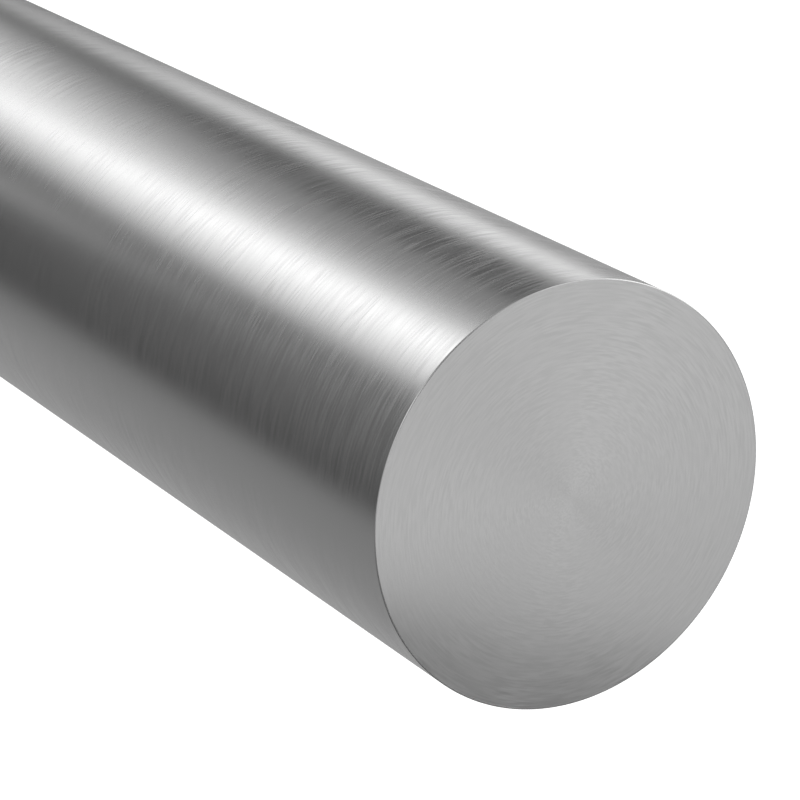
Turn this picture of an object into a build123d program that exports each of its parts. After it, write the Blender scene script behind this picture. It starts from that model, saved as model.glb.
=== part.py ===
from build123d import *
import os

# Round metal bar, cut to length and stood on its end.
# One solid piece of bright round stock: its side is ground to size and both its ends are faced square.
# A fine radius breaks the sharp edge between the side and each end.
# The axis runs up along Z, and the origin is on the floor, in the middle of the bottom end.

# Driving dimensions, in millimetres
bar_diameter = 50.0
bar_length = 300.0
edge_radius = 0.15

with BuildPart() as round_bar:
    with BuildSketch(Plane.XY):
        Circle(bar_diameter / 2)
    extrude(amount=bar_length)
    end_edges = round_bar.edges().filter_by(GeomType.CIRCLE)
    fillet(end_edges, edge_radius)
round_bar.part.label = "round_bar"

os.makedirs("parts", exist_ok=True)
export_step(round_bar.part, "parts/round_bar.step")
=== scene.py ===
from math import radians

import bpy
from mathutils import Matrix, Vector


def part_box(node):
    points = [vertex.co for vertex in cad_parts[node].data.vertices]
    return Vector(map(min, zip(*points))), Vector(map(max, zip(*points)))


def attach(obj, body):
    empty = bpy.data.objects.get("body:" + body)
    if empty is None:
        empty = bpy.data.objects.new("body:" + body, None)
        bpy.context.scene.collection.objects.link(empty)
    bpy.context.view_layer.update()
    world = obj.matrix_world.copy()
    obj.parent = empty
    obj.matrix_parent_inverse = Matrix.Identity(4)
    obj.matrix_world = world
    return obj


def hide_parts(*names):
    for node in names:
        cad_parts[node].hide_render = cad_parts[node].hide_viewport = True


# Solid round metal bar, ground round its side and faced on both ends, standing on one end.
# Metres throughout: the floor is at zero and the bar's axis runs straight up from the origin.

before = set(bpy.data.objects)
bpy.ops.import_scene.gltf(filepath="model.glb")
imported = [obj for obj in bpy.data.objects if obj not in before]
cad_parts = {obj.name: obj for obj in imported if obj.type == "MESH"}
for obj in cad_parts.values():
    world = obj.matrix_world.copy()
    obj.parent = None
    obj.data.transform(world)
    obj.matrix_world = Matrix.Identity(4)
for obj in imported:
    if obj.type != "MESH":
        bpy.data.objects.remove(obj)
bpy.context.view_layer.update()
barLow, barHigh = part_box("round_bar")
barRadius = (barHigh.x - barLow.x) / 2
barLength = barHigh.z - barLow.z
tiny = 1e-6
print("frame: bar", round(barRadius * 2, 4), "m across and", round(barLength, 4), "m long")


# Mesh helpers

def deselectAll():
    bpy.ops.object.select_all(action="DESELECT")


def selectParts(piece, kind, test):
    # kind is vertices, edges or polygons, and test says yes or no to the corners of each one
    mesh = piece.data
    bpy.ops.object.mode_set(mode="EDIT")
    bpy.ops.mesh.select_mode(type={"vertices": "VERT", "edges": "EDGE", "polygons": "FACE"}[kind])
    bpy.ops.mesh.select_all(action="DESELECT")
    bpy.ops.object.mode_set(mode="OBJECT")
    for part in getattr(mesh, kind):
        corners = [part.index] if kind == "vertices" else part.vertices
        part.select = test([mesh.vertices[i].co for i in corners])
    bpy.ops.object.mode_set(mode="EDIT")


def ringCut(height):
    # a level cut right round the mesh in edit mode
    bpy.ops.mesh.select_all(action="SELECT")
    bpy.ops.mesh.bisect(plane_co=(0, 0, height), plane_no=(0, 0, 1), threshold=tiny)


# Shader helpers

def addNode(tree, kind, sockets=None, **settings):
    # sockets: a link is joined to that socket, and anything else is set as its value
    node = tree.nodes.new("ShaderNode" + kind)
    for name, value in settings.items():
        setattr(node, name, value)
    for name, value in (sockets or {}).items():
        if isinstance(value, bpy.types.NodeSocket):
            tree.links.new(value, node.inputs[name])
        else:
            node.inputs[name].default_value = value
    return node


def useGroup(tree, group, sockets):
    return addNode(tree, "Group", sockets, node_tree=group)


def calc(tree, operation, first, second=0.0):
    return addNode(tree, "Math", {0: first, 1: second}, operation=operation).outputs[0]


def spread(tree, value, low, high, newLow, newHigh):
    # maps a value from one range to another, and stops at the ends
    sockets = {"Value": value, "From Min": low, "From Max": high, "To Min": newLow, "To Max": newHigh}
    return addNode(tree, "MapRange", sockets).outputs["Result"]


def newMaterial(name):
    material = bpy.data.materials.new(name)
    material.use_nodes = True
    material.node_tree.nodes.clear()
    return material, material.node_tree


def newGroup(name, takes, gives):
    # takes: name, kind and default value of each input; gives: name and kind of each output
    group = bpy.data.node_groups.new(name, "ShaderNodeTree")
    for socketName, kind, value in takes:
        socket = group.interface.new_socket(socketName, in_out="INPUT", socket_type="NodeSocket" + kind)
        socket.default_value = value
    for socketName, kind in gives:
        group.interface.new_socket(socketName, in_out="OUTPUT", socket_type="NodeSocket" + kind)
    return group, group.nodes.new("NodeGroupInput"), group.nodes.new("NodeGroupOutput")


# Grain: fine lines left by the grinding belt and the facing tool

grain = {
    "fine": (1, 1, 1.0, 0.0),  # width and length in lines, detail of the noise, and its seed
    "broad": (2.2, 3, 1.0, 3.1),
    "patches": (25, 3, 2.0, 7.7),
    "fineShare": 0.8,  # the rest are broad lines
    "faintest": 0.5,  # strength of the lines in the faintest patches
    "lineSpan": (0.37, 0.63),  # part of the noise that is spread over the whole range
    "patchSpan": (0.4, 0.6),
    "askew": (0.6, 0.9, 0.4),  # turn of the noise, so that its own cells don't line up as even ribs
}


def makeGrainGroup(sizes):
    takes = [
        ("Across", "Float", 0.0),  # distance across the lines, in metres
        ("Along", "Vector", (0, 0, 0)),  # place along the lines, in metres
        ("Width", "Float", 0.0003),  # of one line
        ("Length", "Float", 0.004),  # of one line
        ("Strength", "Float", 1.0),
        ("Seed", "Float", 0.0),
    ]
    group, taken, given = newGroup("toolGrain", takes, [("Lines", "Float")])
    seed = taken.outputs["Seed"]

    def stretchedNoise(widthTimes, lengthTimes, detail, seedStep):
        width = calc(group, "MULTIPLY", taken.outputs["Width"], widthTimes)
        length = calc(group, "MULTIPLY", taken.outputs["Length"], lengthTimes)
        shrink = calc(group, "DIVIDE", 1.0, length)
        along = addNode(group, "VectorMath", {0: taken.outputs["Along"], "Scale": shrink}, operation="SCALE")
        parts = addNode(group, "SeparateXYZ", {0: along.outputs[0]})
        across = calc(group, "DIVIDE", taken.outputs["Across"], width)
        place = addNode(group, "CombineXYZ", {"X": across, "Y": parts.outputs["X"], "Z": parts.outputs["Y"]})
        turned = {"Vector": place.outputs[0], "Rotation": sizes["askew"]}
        askew = addNode(group, "VectorRotate", turned, rotation_type="EULER_XYZ").outputs[0]
        sockets = {"Vector": askew, "W": calc(group, "ADD", seed, seedStep), "Scale": 1.0, "Detail": detail}
        return addNode(group, "TexNoise", sockets, noise_dimensions="4D").outputs["Fac"]

    fine = spread(group, stretchedNoise(*sizes["fine"]), *sizes["lineSpan"], 0.0, 1.0)
    broad = spread(group, stretchedNoise(*sizes["broad"]), *sizes["lineSpan"], 0.0, 1.0)
    patches = spread(group, stretchedNoise(*sizes["patches"]), *sizes["patchSpan"], sizes["faintest"], 1.0)
    finePart = calc(group, "MULTIPLY", fine, sizes["fineShare"])
    broadPart = calc(group, "MULTIPLY", broad, 1 - sizes["fineShare"])
    both = calc(group, "ADD", finePart, broadPart)
    strength = calc(group, "MULTIPLY", patches, taken.outputs["Strength"])
    swing = calc(group, "MULTIPLY", calc(group, "SUBTRACT", both, 0.5), strength)
    group.links.new(calc(group, "ADD", swing, 0.5), given.inputs["Lines"])
    return group


clouding = {
    "detail": 3.0,
    "span": (0.3, 0.7),  # part of the noise that is spread over the whole range
}


def makeHandlingGroup(sizes):
    # soft cloudy change of finish from handling and wiping
    takes = [("Place", "Vector", (0, 0, 0)), ("Size", "Float", 0.03)]
    group, taken, given = newGroup("handling", takes, [("Clouds", "Float")])
    scale = calc(group, "DIVIDE", 1.0, taken.outputs["Size"])
    sockets = {"Vector": taken.outputs["Place"], "Scale": scale, "Detail": sizes["detail"]}
    cloud = addNode(group, "TexNoise", sockets).outputs["Fac"]
    group.links.new(spread(group, cloud, *sizes["span"], 0.0, 1.0), given.inputs["Clouds"])
    return group


toolGrain = makeGrainGroup(grain)
handling = makeHandlingGroup(clouding)


def metalShader(tree, finish, lines, clouds):
    # bare steel: the lines change its shade, its gloss and its surface
    darker = [finish["shade"] * (1 - finish["shadeSwing"])] * 3 + [1]
    lighter = [finish["shade"] * (1 + finish["shadeSwing"])] * 3 + [1]
    shade = addNode(tree, "Mix", {"Factor": lines, "A": darker, "B": lighter}, data_type="RGBA")
    lineGloss = spread(tree, lines, 0, 1, -finish["roughSwing"], finish["roughSwing"])
    cloudGloss = spread(tree, clouds, 0, 1, finish["roughness"], finish["roughness"] + finish["cloudSwing"])
    roughness = calc(tree, "ADD", lineGloss, cloudGloss)
    bump = addNode(tree, "Bump", {"Height": lines, "Strength": 1.0, "Distance": finish["lineDepth"]})
    tangent = addNode(tree, "Tangent", direction_type="RADIAL", axis="Z")
    sockets = {
        "Base Color": shade.outputs["Result"],
        "Metallic": 1.0,
        "Roughness": roughness,
        "Normal": bump.outputs["Normal"],
        "Tangent": tangent.outputs["Tangent"],
        "Anisotropic": finish["anisotropy"],
        "Anisotropic Rotation": 0.25,  # a quarter turn, so that highlights stretch across the lines
    }
    shader = addNode(tree, "BsdfPrincipled", sockets)
    addNode(tree, "OutputMaterial", {"Surface": shader.outputs["BSDF"]})


groundSide = {
    "shade": 0.44,
    "shadeSwing": 0.04,  # a line is lighter or darker by up to this share
    "roughness": 0.22,
    "roughSwing": 0.1,  # a line is rougher or smoother by up to this
    "cloudSwing": 0.01,  # a cloud is rougher by up to this
    "anisotropy": 0.78,
    "lineWidth": 0.00035,
    "lineLength": 0.005,
    "lineDepth": 0.000002,
    "seed": 0.0,
    "flank": -0.38,  # where the belt pressed hardest, left of the middle, in bar radiuses
    "flankFade": (0.25, 0.45),  # where the strong lines fade, out from there, in bar radiuses
    "lightPress": 0.4,  # strength of the lines beyond that
    "cloudSize": 0.04,
}


def makeGroundSide(finish):
    material, tree = newMaterial("groundSide")
    place = addNode(tree, "TexCoord").outputs["Object"]
    axes = addNode(tree, "SeparateXYZ", {0: place})
    offFlank = calc(tree, "SUBTRACT", axes.outputs["X"], barRadius * finish["flank"])
    fadeStart, fadeEnd = (barRadius * share for share in finish["flankFade"])
    press = spread(tree, calc(tree, "ABSOLUTE", offFlank), fadeStart, fadeEnd, 1.0, finish["lightPress"])
    sockets = {"Across": axes.outputs["Z"], "Along": place, "Strength": press, "Seed": finish["seed"]}
    sockets.update({"Width": finish["lineWidth"], "Length": finish["lineLength"]})
    lines = useGroup(tree, toolGrain, sockets)
    clouds = useGroup(tree, handling, {"Place": place, "Size": finish["cloudSize"]})
    metalShader(tree, finish, lines.outputs["Lines"], clouds.outputs["Clouds"])
    return material


facedEnd = {
    # painted light: the end is the same steel as the side, but its shade is raised above the side's 0.44 so
    # that it renders brighter
    "shade": 0.475,
    "shadeSwing": 0.09,
    "roughness": 0.33,
    "roughSwing": 0.05,
    "cloudSwing": 0.02,
    "anisotropy": 0.6,
    "lineWidth": 0.00026,
    "lineLength": 0.0032,
    "lineDepth": 0.000003,
    "seed": 5.0,
    "cloudSize": 0.03,
}


def makeFacedEnd(finish, name="facedEnd"):
    material, tree = newMaterial(name)
    place = addNode(tree, "TexCoord").outputs["Object"]
    flat = addNode(tree, "VectorMath", {0: place, 1: (1, 1, 0)}, operation="MULTIPLY").outputs[0]
    outwards = addNode(tree, "VectorMath", {0: flat}, operation="NORMALIZE").outputs[0]
    rim = addNode(tree, "VectorMath", {0: outwards, "Scale": barRadius}, operation="SCALE").outputs[0]
    radius = addNode(tree, "VectorMath", {0: flat}, operation="LENGTH").outputs["Value"]
    sockets = {"Across": radius, "Along": rim, "Seed": finish["seed"]}
    sockets.update({"Width": finish["lineWidth"], "Length": finish["lineLength"]})
    lines = useGroup(tree, toolGrain, sockets)
    clouds = useGroup(tree, handling, {"Place": place, "Size": finish["cloudSize"]})
    metalShader(tree, finish, lines.outputs["Lines"], clouds.outputs["Clouds"])
    return material


brokenEdge = {
    "shade": 0.44,
    "shadeSwing": 0.05,
    "roughness": 0.22,
    "roughSwing": 0.04,
    "cloudSwing": 0.03,
    "anisotropy": 0.5,
    "lineWidth": 0.0001,
    "lineLength": 0.008,
    "lineDepth": 0.000001,
    "seed": 5.0,
    "cloudSize": 0.01,
}

# The bar

bar = {
    "sides": 360,
    "edgeRadius": 0.00015,  # the fine round between the side and each end
    "edgeSteps": 8,
    "holdWidth": 0.00004,  # narrow flat strips beside the round, which keep the big faces flat
    "endRings": 5,
    "sideRings": 11,
    "square": 0.001,  # how far from dead level or upright a face of an end or the side may be
}


def makeBar(sizes):
    deselectAll()
    bpy.ops.mesh.primitive_cylinder_add(
        vertices=sizes["sides"], radius=barRadius, depth=barLength, location=(0, 0, barLength / 2)
    )
    piece = bpy.context.object
    piece.name = piece.data.name = "ground_bar"
    bpy.ops.object.transform_apply(location=True, rotation=True, scale=True)

    # both rims rounded
    def onRim(corners):
        return all(c.z < tiny for c in corners) or all(c.z > barLength - tiny for c in corners)

    selectParts(piece, "edges", onRim)
    bpy.ops.mesh.bevel(offset=sizes["edgeRadius"], segments=sizes["edgeSteps"], profile=0.5, affect="EDGES")

    # rings on both ends: a narrow one at the rim, then even ones towards the middle
    selectParts(piece, "polygons", lambda corners: len(corners) > 4)
    bpy.ops.mesh.inset(thickness=sizes["holdWidth"])
    ringStep = (barRadius - sizes["edgeRadius"]) / (sizes["endRings"] + 1)
    for _ in range(sizes["endRings"]):
        bpy.ops.mesh.inset(thickness=ringStep)

    # rings along the side, the first and last close to the rounded rims
    edgeLoop = sizes["edgeRadius"] + sizes["holdWidth"]
    ringCut(edgeLoop)
    ringCut(barLength - edgeLoop)
    for i in range(1, sizes["sideRings"] + 1):
        ringCut(barLength * i / (sizes["sideRings"] + 1))
    bpy.ops.mesh.select_all(action="SELECT")
    bpy.ops.mesh.normals_make_consistent(inside=False)
    bpy.ops.object.mode_set(mode="OBJECT")
    bpy.ops.object.shade_smooth()

    # side, ends and rounded edges each get their own finish
    piece.data.materials.append(makeGroundSide(groundSide))
    piece.data.materials.append(makeFacedEnd(facedEnd))
    piece.data.materials.append(makeFacedEnd(brokenEdge, "brokenEdge"))
    for face in piece.data.polygons:
        upright = abs(face.normal.z)
        face.material_index = 0 if upright < sizes["square"] else 1 if upright > 1 - sizes["square"] else 2
    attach(piece, "root")
    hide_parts("round_bar")
    return piece


groundBar = makeBar(bar)
print("bar:", len(groundBar.data.polygons), "faces")

# Studio: a white floor that keeps the bar's shadow, and soft lamps

studio = {
    "floorSize": 24.0,
    "floorShade": 0.8,
    "floorGlow": 0.4,  # as the camera and the metal see the floor
    "backdrop": 1.0,  # the world, as the camera and the metal see it
    "fill": 0.5,  # the world's soft light on the floor
    "lampSize": 0.9,
    "lamps": [  # name, place, power in watts
        ("keyLamp", (-0.9, -0.8, 1.7), 14.0),
        ("fillLamp", (1.2, -0.5, 1.4), 7.0),
        ("backLamp", (0.2, 1.3, 1.6), 7.0),
    ],
}


def seenRays(tree):
    # 1 for what the camera sees, straight, mirrored or through glass
    rays = addNode(tree, "LightPath").outputs
    seen = calc(tree, "MAXIMUM", rays["Is Camera Ray"], rays["Is Glossy Ray"])
    return calc(tree, "MAXIMUM", seen, rays["Is Transmission Ray"])


def makeFloor(sizes):
    deselectAll()
    bpy.ops.mesh.primitive_plane_add(size=sizes["floorSize"])
    floor = bpy.context.object
    floor.name = "floor"
    material, tree = newMaterial("floorWhite")
    shade = [sizes["floorShade"]] * 3 + [1]
    paint = addNode(tree, "BsdfDiffuse", {"Color": shade})
    glow = addNode(tree, "Emission", {"Strength": calc(tree, "MULTIPLY", seenRays(tree), sizes["floorGlow"])})
    both = addNode(tree, "AddShader", {0: paint.outputs[0], 1: glow.outputs[0]})
    addNode(tree, "OutputMaterial", {"Surface": both.outputs[0]})
    material.cycles.emission_sampling = "NONE"  # else rough metal sees only part of the glow
    floor.data.materials.append(material)


def makeWorld(sizes):
    world = bpy.data.worlds.new("studioWorld")
    bpy.context.scene.world = world
    world.use_nodes = True
    world.cycles.sampling_method = "NONE"  # else rough metal sees only part of the backdrop
    tree = world.node_tree
    tree.nodes.clear()
    strength = spread(tree, seenRays(tree), 0, 1, sizes["fill"], sizes["backdrop"])
    light = addNode(tree, "Background", {"Color": (1, 1, 1, 1), "Strength": strength})
    addNode(tree, "OutputWorld", {"Surface": light.outputs[0]})


def makeLamps(sizes):
    for name, place, power in sizes["lamps"]:
        bpy.ops.object.light_add(type="AREA", location=place)
        lamp = bpy.context.object
        lamp.name = name
        lamp.data.size = sizes["lampSize"]
        lamp.data.energy = power
        lamp.rotation_euler = (-Vector(place)).to_track_quat("-Z", "Y").to_euler()
        lamp.visible_glossy = False


makeFloor(studio)
makeWorld(studio)
makeLamps(studio)
print("studio: floor, world and", len(studio["lamps"]), "lamps")

# Reflector ring round the bar's foot: a flat ring and a wall, seen only in the metal
# Its brightness is set by direction in degrees: 0 is the photo's side, 90 is the right and -90 the left.
# The far and near stops follow a fit to the photo's bands, rounded and then moved.

reflector = {
    "inner": 0.026,
    "outer": 0.3,
    "height": 0.5,
    "lift": 0.0003,
    "sides": 120,
    "brightest": 3.0,  # a ramp holds shares of this, because its colours stop at 1
    "blend": (0.07, 0.17),  # from the near brightness to the far one, by distance from the bar
    "rise": (0.08, 0.14),  # from the far brightness to the high one, by height up the wall
    "far": [
        (-180, 0.52), (-168, 0.43), (-163, 0.38), (-157, 0.35), (-146, 0.34), (-130, 0.34), (-126, 0.55),
        (-121, 1.65), (-112, 1.6), (-106, 1.1), (-102, 0.38), (-97, 0.05), (-88, 0.18), (-77, 0.22),
        (-72, 0.44), (-62, 0.5), (-52, 0.92), (-47, 1.25), (-39, 2.2), (-33, 2.5), (-26, 2.1),
        (-17, 1.45), (-12, 1.0), (-6, 0.5), (1, 0.3), (15, 0.24), (35, 0.18), (52, 0.12),
        (64, 0.38), (135, 0.53), (158, 0.5), (166, 0.6),
    ],
    "near": [
        (-180, 0.2), (-166, 0.12), (-155, 0.1), (-145, 0.0), (-137, 0.0), (-131, 0.0), (-124, 0.15),
        (-118, 0.45), (-112, 0.74), (-107, 0.65), (-99, 0.08), (-92, 0.42), (-86, 0.85), (-73, 1.25),
        (-66, 1.68), (-60, 2.0), (-50, 1.92), (-38, 1.7), (-32, 1.2), (-22, 0.42), (-16, 0.06),
        (-10, 0.0), (-2, 0.4), (5, 0.77), (10, 0.66), (17, 0.3), (27, 0.1), (50, 0.12),
        (70, 0.35), (92, 0.6), (148, 0.46), (166, 0.12),
    ],
    "high": [
        (-180, 0.1), (-174, 0.3), (-164, 0.42), (-154, 0.35), (-146, 0.35), (-135, 0.75), (-122, 2.0),
        (-108, 2.6), (-95, 1.4), (-77, 1.4), (-60, 0.75), (-40, 0.4), (-20, 0.3), (-8, 1.1),
        (2, 1.55), (12, 1.0), (38, 0.65), (52, 0.4), (62, 0.3), (80, 0.18), (92, 0.08),
        (150, 0.07), (168, 0.07), (180, 0.1),
    ],
}


def brightnessRamp(tree, angle, stops, brightest):
    ramp = addNode(tree, "ValToRGB", {"Fac": spread(tree, angle, -180, 180, 0, 1)})
    points = ramp.color_ramp.elements
    for i, (degree, glow) in enumerate(stops):
        place = (degree + 180) / 360
        point = points[i] if i < 2 else points.new(place)
        point.position = place
        point.color = [glow / brightest] * 3 + [1]
    return calc(tree, "MULTIPLY", ramp.outputs["Color"], brightest)


def makeReflector(sizes):
    deselectAll()
    start = Vector((0, 0, sizes["lift"]))
    bpy.ops.mesh.primitive_circle_add(vertices=sizes["sides"], radius=sizes["outer"], location=start)
    ring = bpy.context.object
    ring.name = "reflectorRing"
    bpy.ops.object.transform_apply(location=True, rotation=False, scale=False)
    bpy.ops.object.mode_set(mode="EDIT")
    bpy.ops.mesh.select_all(action="SELECT")
    bpy.ops.mesh.extrude_edges_move(TRANSFORM_OT_translate={"value": (0, 0, sizes["height"])})
    selectParts(ring, "edges", lambda corners: all(c.z < sizes["lift"] + tiny for c in corners))
    bpy.ops.mesh.extrude_edges_move()
    shrink = sizes["inner"] / sizes["outer"]
    bpy.ops.transform.resize(value=(shrink, shrink, 1), center_override=start)
    bpy.ops.object.mode_set(mode="OBJECT")

    material, tree = newMaterial("reflectorGlow")
    place = addNode(tree, "TexCoord").outputs["Object"]
    axes = addNode(tree, "SeparateXYZ", {0: place})
    flat = addNode(tree, "VectorMath", {0: place, 1: (1, 1, 0)}, operation="MULTIPLY").outputs[0]
    distance = addNode(tree, "VectorMath", {0: flat}, operation="LENGTH").outputs["Value"]
    turn = calc(tree, "ARCTAN2", axes.outputs["X"], calc(tree, "MULTIPLY", axes.outputs["Y"], -1.0))
    angle = calc(tree, "DEGREES", turn)
    far, near, high = (
        brightnessRamp(tree, angle, sizes[name], sizes["brightest"]) for name in ("far", "near", "high")
    )
    blend = spread(tree, distance, *sizes["blend"], 0, 1)
    low = addNode(tree, "Mix", {0: blend, 2: near, 3: far}, data_type="FLOAT").outputs[0]
    rise = spread(tree, axes.outputs["Z"], *sizes["rise"], 0, 1)
    glow = addNode(tree, "Mix", {0: rise, 2: low, 3: high}, data_type="FLOAT").outputs[0]
    light = addNode(tree, "Emission", {"Strength": glow})
    addNode(tree, "OutputMaterial", {"Surface": light.outputs[0]})
    ring.data.materials.append(material)
    hideFromAllButMetal(ring)


def cardMaterial(name, brightness):
    material, tree = newMaterial(name)
    light = addNode(tree, "Emission", {"Strength": brightness})
    addNode(tree, "OutputMaterial", {"Surface": light.outputs[0]})
    return material


def hideFromAllButMetal(card):
    card.visible_camera = card.visible_diffuse = card.visible_transmission = card.visible_shadow = False


# Grey card leaning beside the top end, which shades the right side of its face

leaningCard = {
    "brightness": 0.27,
    "foot": (1.6, 0.94),  # out from the axis and up from the top end, in bar radiuses
    "head": (1.03, 1.33),
    "side": 2.5,  # half its width
    "slide": 0.46,  # towards the back
    "turn": 16,  # round the axis, in degrees
}


def makeLeaningCard(sizes):
    deselectAll()
    bpy.ops.mesh.primitive_plane_add(size=2)
    card = bpy.context.object
    card.name = "leaningCard"
    bpy.ops.object.mode_set(mode="EDIT")
    bpy.ops.mesh.select_all(action="SELECT")
    reach = Vector(sizes["head"]) - Vector(sizes["foot"])
    middle = (Vector(sizes["head"]) + Vector(sizes["foot"])) / 2
    bpy.ops.transform.resize(value=(reach.length / 2 * barRadius, sizes["side"] * barRadius, 1))
    bpy.ops.object.mode_set(mode="OBJECT")
    slope = Matrix.Rotation(-reach.angle_signed(Vector((1, 0))), 4, "Y")
    place = Vector((middle.x, sizes["slide"], middle.y)) * barRadius + Vector((0, 0, barLength))
    turned = Matrix.Rotation(radians(sizes["turn"]), 4, "Z")
    card.data.transform(turned @ Matrix.Translation(place) @ slope)
    card.data.materials.append(cardMaterial("greyCard", sizes["brightness"]))
    hideFromAllButMetal(card)


# Black disc overhead, which draws the dark line round the left of the end's broken edge

blackDisc = {
    "brightness": 0.0,
    "place": (-0.16, -0.15, 1.0),  # from the middle of the top end
    "radius": 0.28,
    "sides": 64,
}


def makeBlackDisc(sizes):
    deselectAll()
    place = Vector(sizes["place"]) + Vector((0, 0, barLength))
    bpy.ops.mesh.primitive_circle_add(
        vertices=sizes["sides"], radius=sizes["radius"], fill_type="NGON", location=place
    )
    disc = bpy.context.object
    disc.name = "blackDisc"
    bpy.ops.object.transform_apply(location=True, rotation=False, scale=False)
    disc.data.materials.append(cardMaterial("blackCard", sizes["brightness"]))
    hideFromAllButMetal(disc)


makeReflector(reflector)
makeLeaningCard(leaningCard)
makeBlackDisc(blackDisc)
print("reflector ring, leaning card and black disc")

# Camera: above the top end, turned so that the bar runs off to the upper left

camera = {
    "back": 0.22837,  # from the bar's axis
    "above": 0.28792,  # above the top end
    "lookDown": 54.985,
    "turn": 119.64,
    "lens": 149.41,
    "sensor": 36,
    "clip": (0.01, 60),
}


def makeCamera(sizes):
    bpy.ops.object.camera_add(location=(0, -sizes["back"], barHigh.z + sizes["above"]))
    view = bpy.context.object
    view.name = "camera"
    tilt = Matrix.Rotation(radians(90 - sizes["lookDown"]), 3, "X")
    roll = Matrix.Rotation(radians(sizes["turn"]), 3, "Z")
    view.rotation_euler = (tilt @ roll).to_euler()
    view.data.lens = sizes["lens"]
    view.data.sensor_width = sizes["sensor"]
    view.data.clip_start, view.data.clip_end = sizes["clip"]
    bpy.context.scene.camera = view


makeCamera(camera)
bpy.context.scene.view_settings.view_transform = "Standard"
print("camera set")
